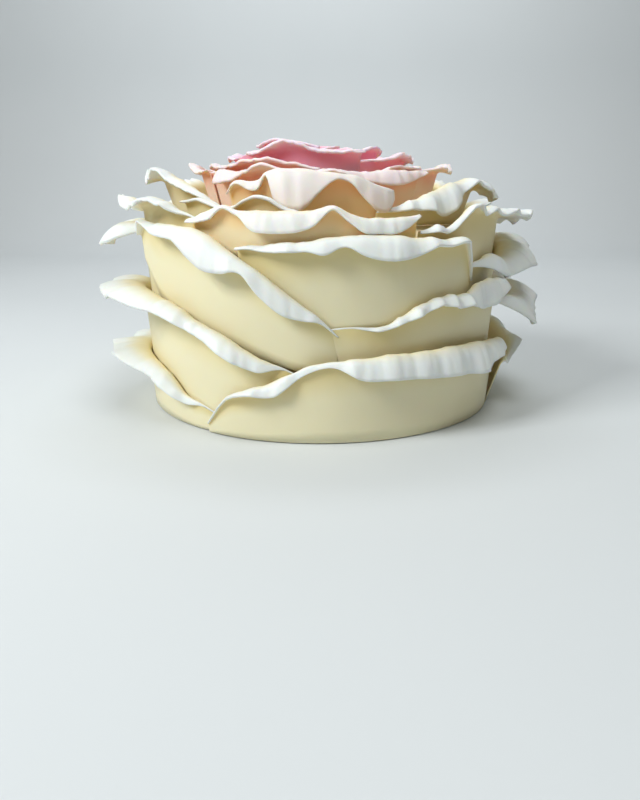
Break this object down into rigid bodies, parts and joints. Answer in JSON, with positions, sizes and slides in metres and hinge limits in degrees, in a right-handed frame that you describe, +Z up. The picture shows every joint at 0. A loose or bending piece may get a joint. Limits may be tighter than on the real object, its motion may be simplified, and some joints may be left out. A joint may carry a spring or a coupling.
{
  "type": "rose petal celebration cake",
  "caption": "Single-tier round cake covered in wide ruffled sugar petals, like one open rose, cream at the side and pink in the middle.",
  "frame": {"origin": "centre of the cake's flat round base", "axes": "+Z up, -Y towards the front of the cake, +X to the right seen from the front"},
  "size_m": [0.2844, 0.2607, 0.1606],
  "materials": {
    "icing_coat": "smooth matte rolled icing",
    "cream_petal": "matte sugar paste, whiter at the thin edge",
    "peach_petal": "matte sugar paste, whiter at the thin edge",
    "blush_petal": "matte sugar paste, whiter at the thin edge",
    "pink_petal": "matte sugar paste, paler at the thin edge"
  },
  "bodies": {
    "root": {"cake_body": "icing_coat", "rim_petal_front": "cream_petal", "rim_petal_left": "cream_petal", "rim_petal_back_left": "cream_petal", "rim_petal_back": "cream_petal", "rim_petal_right": "cream_petal", "upper_petal_right": "cream_petal", "upper_petal_front": "cream_petal", "upper_petal_far_left": "cream_petal", "upper_petal_back": "cream_petal", "upper_petal_left": "cream_petal", "upper_petal_far_right": "cream_petal", "middle_petal_back_left": "cream_petal", "middle_petal_far_right": "cream_petal", "middle_petal_back": "cream_petal", "middle_petal_right": "cream_petal", "middle_petal_left": "cream_petal", "low_petal_right": "cream_petal", "low_petal_back_right": "cream_petal", "low_petal_back_left": "cream_petal", "low_petal_left": "cream_petal", "low_petal_front": "cream_petal", "outer_top_petal_near": "cream_petal", "outer_top_petal_left": "cream_petal", "outer_top_petal_right": "cream_petal", "outer_top_petal_1": "cream_petal", "outer_top_petal_2": "cream_petal", "outer_top_petal_3": "cream_petal", "outer_top_petal_front": "peach_petal", "inner_top_petal_front": "blush_petal", "inner_top_petal_1": "blush_petal", "inner_top_petal_2": "blush_petal", "inner_top_petal_3": "blush_petal", "blush_petal_1": "blush_petal", "blush_petal_2": "blush_petal", "blush_petal_3": "blush_petal", "blush_petal_4": "blush_petal", "pink_petal_1": "pink_petal", "pink_petal_2": "pink_petal", "pink_petal_3": "pink_petal", "pink_petal_4": "pink_petal", "heart_petal_1": "pink_petal", "heart_petal_2": "pink_petal", "heart_petal_3": "pink_petal", "heart_bud": "pink_petal"}
  },
  "joints": []
}
